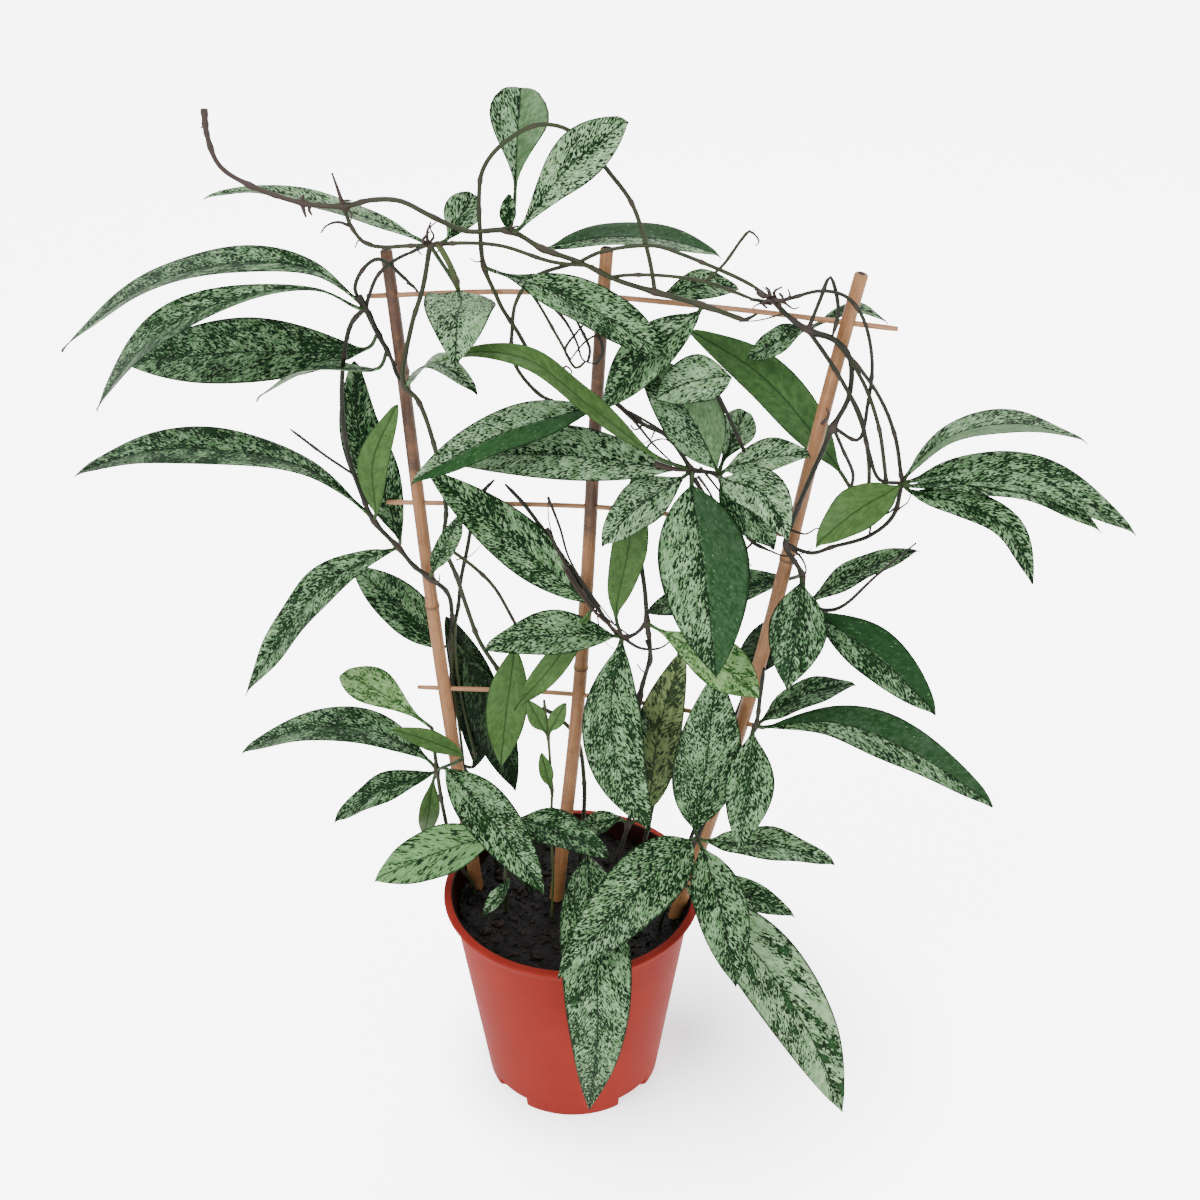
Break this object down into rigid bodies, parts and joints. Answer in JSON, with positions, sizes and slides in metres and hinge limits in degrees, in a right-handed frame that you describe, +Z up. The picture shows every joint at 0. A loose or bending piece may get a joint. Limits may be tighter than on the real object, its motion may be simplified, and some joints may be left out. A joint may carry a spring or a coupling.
{
  "type": "potted climbing hoya on a bamboo trellis",
  "caption": "Potted silver splash hoya: silver-flecked leaves on vines trained up a bamboo trellis in a terracotta-coloured plastic grower pot.",
  "frame": {"origin": "middle of the pot's flat base, on the surface that it stands on", "axes": "+Z up along the pot's axis, -Y towards the plant's front, +X to its right as seen from the front"},
  "size_m": [0.5952, 0.2073, 0.6659],
  "materials": {
    "pot_plastic": "satin",
    "soil": "matte",
    "bamboo": "satin",
    "rung_wood": "satin",
    "foliage": "waxy"
  },
  "bodies": {
    "root": {"pot": "pot_plastic", "soil": "soil", "stake_left": "bamboo", "stake_middle": "bamboo", "stake_right": "bamboo", "rung_top": "rung_wood", "rung_middle": "rung_wood", "rung_bottom": "rung_wood", "crown_stem": "foliage", "left_stem": "foliage", "low_left_stem": "foliage", "front_shoot": "foliage", "young_shoot": "foliage", "hanging_stem": "foliage", "middle_stem": "foliage", "heart_stem": "foliage", "right_stem": "foliage", "right_low_stem": "foliage"}
  },
  "joints": []
}
